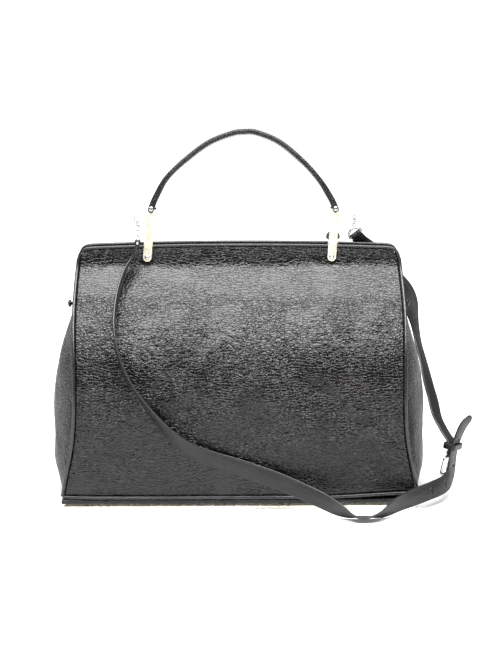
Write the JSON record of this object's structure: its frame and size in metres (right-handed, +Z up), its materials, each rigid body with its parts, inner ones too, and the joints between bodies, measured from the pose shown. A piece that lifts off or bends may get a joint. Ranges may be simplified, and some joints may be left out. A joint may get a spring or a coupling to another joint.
{
  "type": "doctor bag",
  "caption": "Leather doctor bag with a hinged steel mouth frame, one top handle on swinging metal arms, a zip, a flat base plate and a buckled shoulder strap.",
  "frame": {"origin": "middle of the base plate's underside", "axes": "+X along the bag to the right as seen from the front, +Y to the back, +Z up"},
  "size_m": [0.42, 0.225, 0.3629],
  "materials": {
    "black_leather": "semi-gloss pebbled grain",
    "edge_leather": "satin",
    "pale_gold": "polished",
    "silver_metal": "polished",
    "frame_steel": "satin",
    "lining_fabric": "matte twill",
    "fibre_board": "matte",
    "zip_tape": "matte woven"
  },
  "bodies": {
    "root": {"base_plate": "silver_metal", "base_screw_1": "silver_metal", "base_screw_2": "silver_metal", "base_screw_3": "silver_metal", "base_screw_4": "silver_metal", "base_panel": "black_leather", "base_board": "fibre_board", "front_panel": "black_leather", "back_panel_lower": "black_leather", "back_panel_fold": "black_leather", "gusset_left": "black_leather", "gusset_right": "black_leather", "gusset_pleat_left": "black_leather", "gusset_pleat_right": "black_leather", "front_piping": "edge_leather", "back_piping_lower": "edge_leather", "lining": "lining_fabric", "inner_pocket": "lining_fabric", "front_frame": "frame_steel", "hinge_pin_left": "black_leather", "hinge_pin_right": "black_leather", "zip_tape_front": "zip_tape", "zip_teeth_front": "silver_metal", "arm_rivet_left": "silver_metal", "arm_rivet_right": "silver_metal", "chain_left": "silver_metal", "chain_right": "silver_metal", "d_ring_left": "silver_metal", "d_ring_right": "silver_metal", "strap_long": "black_leather", "strap_short": "black_leather", "buckle": "silver_metal", "buckle_prong": "silver_metal", "strap_keeper": "black_leather"},
    "back_half": {"back_frame": "frame_steel", "back_panel_upper": "black_leather", "back_piping_upper": "edge_leather", "zip_tape_back": "zip_tape", "zip_teeth_back": "silver_metal"},
    "slider": {"zip_slider": "silver_metal"},
    "pull": {"zip_pull_link": "silver_metal", "zip_pull_tab": "black_leather"},
    "left_arm": {"arm_left": "pale_gold", "eye_pin_left": "silver_metal", "clasp_left": "pale_gold"},
    "right_arm": {"arm_right": "pale_gold", "eye_pin_right": "silver_metal", "clasp_right": "pale_gold"},
    "grip": {"handle": "black_leather"}
  },
  "joints": [
    {"name": "frame_open", "type": "hinge", "parent": "root", "child": "back_half", "pos_m": [0, 0, 0.19], "axis": [-1, 0, 0], "range_deg": [0, 60], "deforming": ["back_panel_fold", "gusset_pleat_left", "gusset_pleat_right", "strap_short"]},
    {"name": "zip_slide", "type": "slide", "parent": "root", "child": "slider", "axis": [-1, 0, 0], "range_m": [0, 0.23]},
    {"name": "zip_pull_swing", "type": "hinge", "parent": "slider", "child": "pull", "pos_m": [0.0935, 0, 0.2461], "axis": [1, 0, 0], "range_deg": [0, 40]},
    {"name": "left_arm_swing", "type": "hinge", "parent": "root", "child": "left_arm", "pos_m": [-0.0905, -0.0168, 0.2384], "axis": [0, 0.9822, -0.1881], "range_deg": [-50, 40], "deforming": ["chain_left"]},
    {"name": "right_arm_swing", "type": "hinge", "parent": "root", "child": "right_arm", "pos_m": [0.0913, -0.0168, 0.2384], "axis": [0, 0.9822, -0.1881], "range_deg": [-50, 40], "deforming": ["chain_right"]},
    {"name": "grip_level", "type": "hinge", "parent": "left_arm", "child": "grip", "pos_m": [-0.08653, -0.0079, 0.28489], "axis": [0, 0.9822, -0.1881], "range_deg": [-40, 50]}
  ],
  "couplings": [
    {"joint": "right_arm_swing", "follows": "left_arm_swing", "ratio": 1},
    {"joint": "grip_level", "follows": "left_arm_swing", "ratio": -1}
  ]
}
